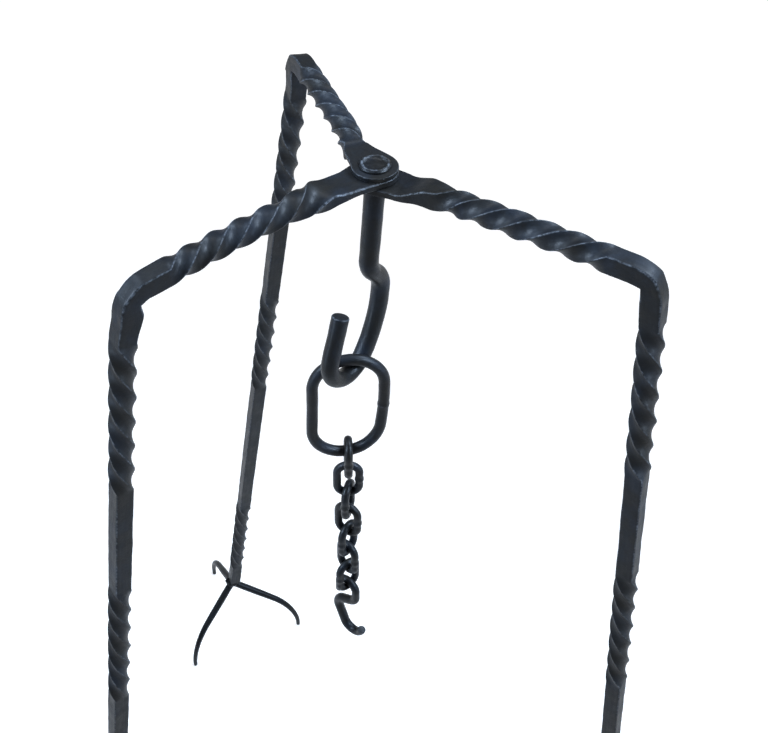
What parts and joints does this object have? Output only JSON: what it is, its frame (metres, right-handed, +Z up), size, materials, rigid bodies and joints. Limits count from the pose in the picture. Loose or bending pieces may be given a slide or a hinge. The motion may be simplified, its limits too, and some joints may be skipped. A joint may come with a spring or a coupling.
{
  "type": "campfire cooking tripod",
  "caption": "Folding campfire tripod of twisted square iron bars riveted to a swivelling hook, with a ring, a chain and an end hook that hold a pot over a fire.",
  "frame": {"origin": "ground level, at the centre of the rectangle that the three feet span", "axes": "+Z up along the pivot, +Y towards the rear leg, +X towards the right leg's side"},
  "size_m": [0.6326, 0.5592, 0.9056],
  "materials": {
    "leg_bar": "forged, waxed satin black",
    "foot_rod": "forged, waxed satin black",
    "hook_bar": "forged, waxed satin black",
    "washer": "hammered, waxed satin black",
    "ring": "forged and welded, satin black",
    "chain": "welded chain, satin black"
  },
  "bodies": {
    "rear_leg": {"rear_leg": "leg_bar", "rear_foot_arch": "foot_rod", "rear_foot_toe": "foot_rod"},
    "left_leg": {"left_leg": "leg_bar", "left_foot_arch": "foot_rod", "left_foot_toe": "foot_rod"},
    "right_leg": {"right_leg": "leg_bar", "right_foot_arch": "foot_rod", "right_foot_toe": "foot_rod"},
    "swivel_hook": {"swivel_hook": "hook_bar", "pivot_washer": "washer"},
    "ring": {"ring": "ring"},
    "chain_link_1": {"chain_link_1": "chain"},
    "chain_link_2": {"chain_link_2": "chain"},
    "chain_link_3": {"chain_link_3": "chain"},
    "chain_link_4": {"chain_link_4": "chain"},
    "chain_link_5": {"chain_link_5": "chain"},
    "chain_link_6": {"chain_link_6": "chain"},
    "chain_link_7": {"chain_link_7": "chain"},
    "end_hook": {"end_hook": "hook_bar"}
  },
  "joints": [
    {"name": "left_leg_fold", "type": "hinge", "parent": "rear_leg", "child": "left_leg", "pos_m": [-0.00316, -0.04978, 0.89], "axis": [0, 0, 1], "range_deg": [-41, 23]},
    {"name": "right_leg_fold", "type": "hinge", "parent": "rear_leg", "child": "right_leg", "pos_m": [-0.00316, -0.04978, 0.89], "axis": [0, 0, 1], "range_deg": [-23, 80]},
    {"name": "hook_swivel", "type": "hinge", "parent": "rear_leg", "child": "swivel_hook", "pos_m": [-0.00316, -0.04978, 0.89], "axis": [0, 0, 1], "continuous": true},
    {"name": "ring_swing", "type": "hinge", "parent": "swivel_hook", "child": "ring", "pos_m": [-0.01919, -0.07144, 0.73145], "axis": [0.1736, 0.9848, 0], "range_deg": [-15, 15]},
    {"name": "link_1_swing", "type": "hinge", "parent": "ring", "child": "chain_link_1", "pos_m": [-0.01919, -0.07144, 0.64755], "axis": [0.9848, 0.1736, 0], "range_deg": [-10, 10]},
    {"name": "link_2_swing", "type": "hinge", "parent": "chain_link_1", "child": "chain_link_2", "pos_m": [-0.01919, -0.07144, 0.62295], "axis": [-0.0698, 0.9976, 0], "range_deg": [-10, 10]},
    {"name": "link_3_swing", "type": "hinge", "parent": "chain_link_2", "child": "chain_link_3", "pos_m": [-0.01919, -0.07144, 0.59725], "axis": [0.9994, 0.0349, 0], "range_deg": [-10, 10]},
    {"name": "link_4_swing", "type": "hinge", "parent": "chain_link_3", "child": "chain_link_4", "pos_m": [-0.01919, -0.07144, 0.57155], "axis": [0.2419, 0.9703, 0], "range_deg": [-10, 10]},
    {"name": "link_5_swing", "type": "hinge", "parent": "chain_link_4", "child": "chain_link_5", "pos_m": [-0.01919, -0.07144, 0.54585], "axis": [0.8988, -0.4384, 0], "range_deg": [-10, 10]},
    {"name": "link_6_swing", "type": "hinge", "parent": "chain_link_5", "child": "chain_link_6", "pos_m": [-0.01919, -0.07144, 0.52015], "axis": [0.5446, 0.8387, 0], "range_deg": [-10, 10]},
    {"name": "link_7_swing", "type": "hinge", "parent": "chain_link_6", "child": "chain_link_7", "pos_m": [-0.01919, -0.07144, 0.49445], "axis": [0.6947, -0.7193, 0], "range_deg": [-10, 10]},
    {"name": "end_hook_swing", "type": "hinge", "parent": "chain_link_7", "child": "end_hook", "pos_m": [-0.01919, -0.07144, 0.46875], "axis": [0.7431, 0.6691, 0], "range_deg": [-10, 10]}
  ]
}
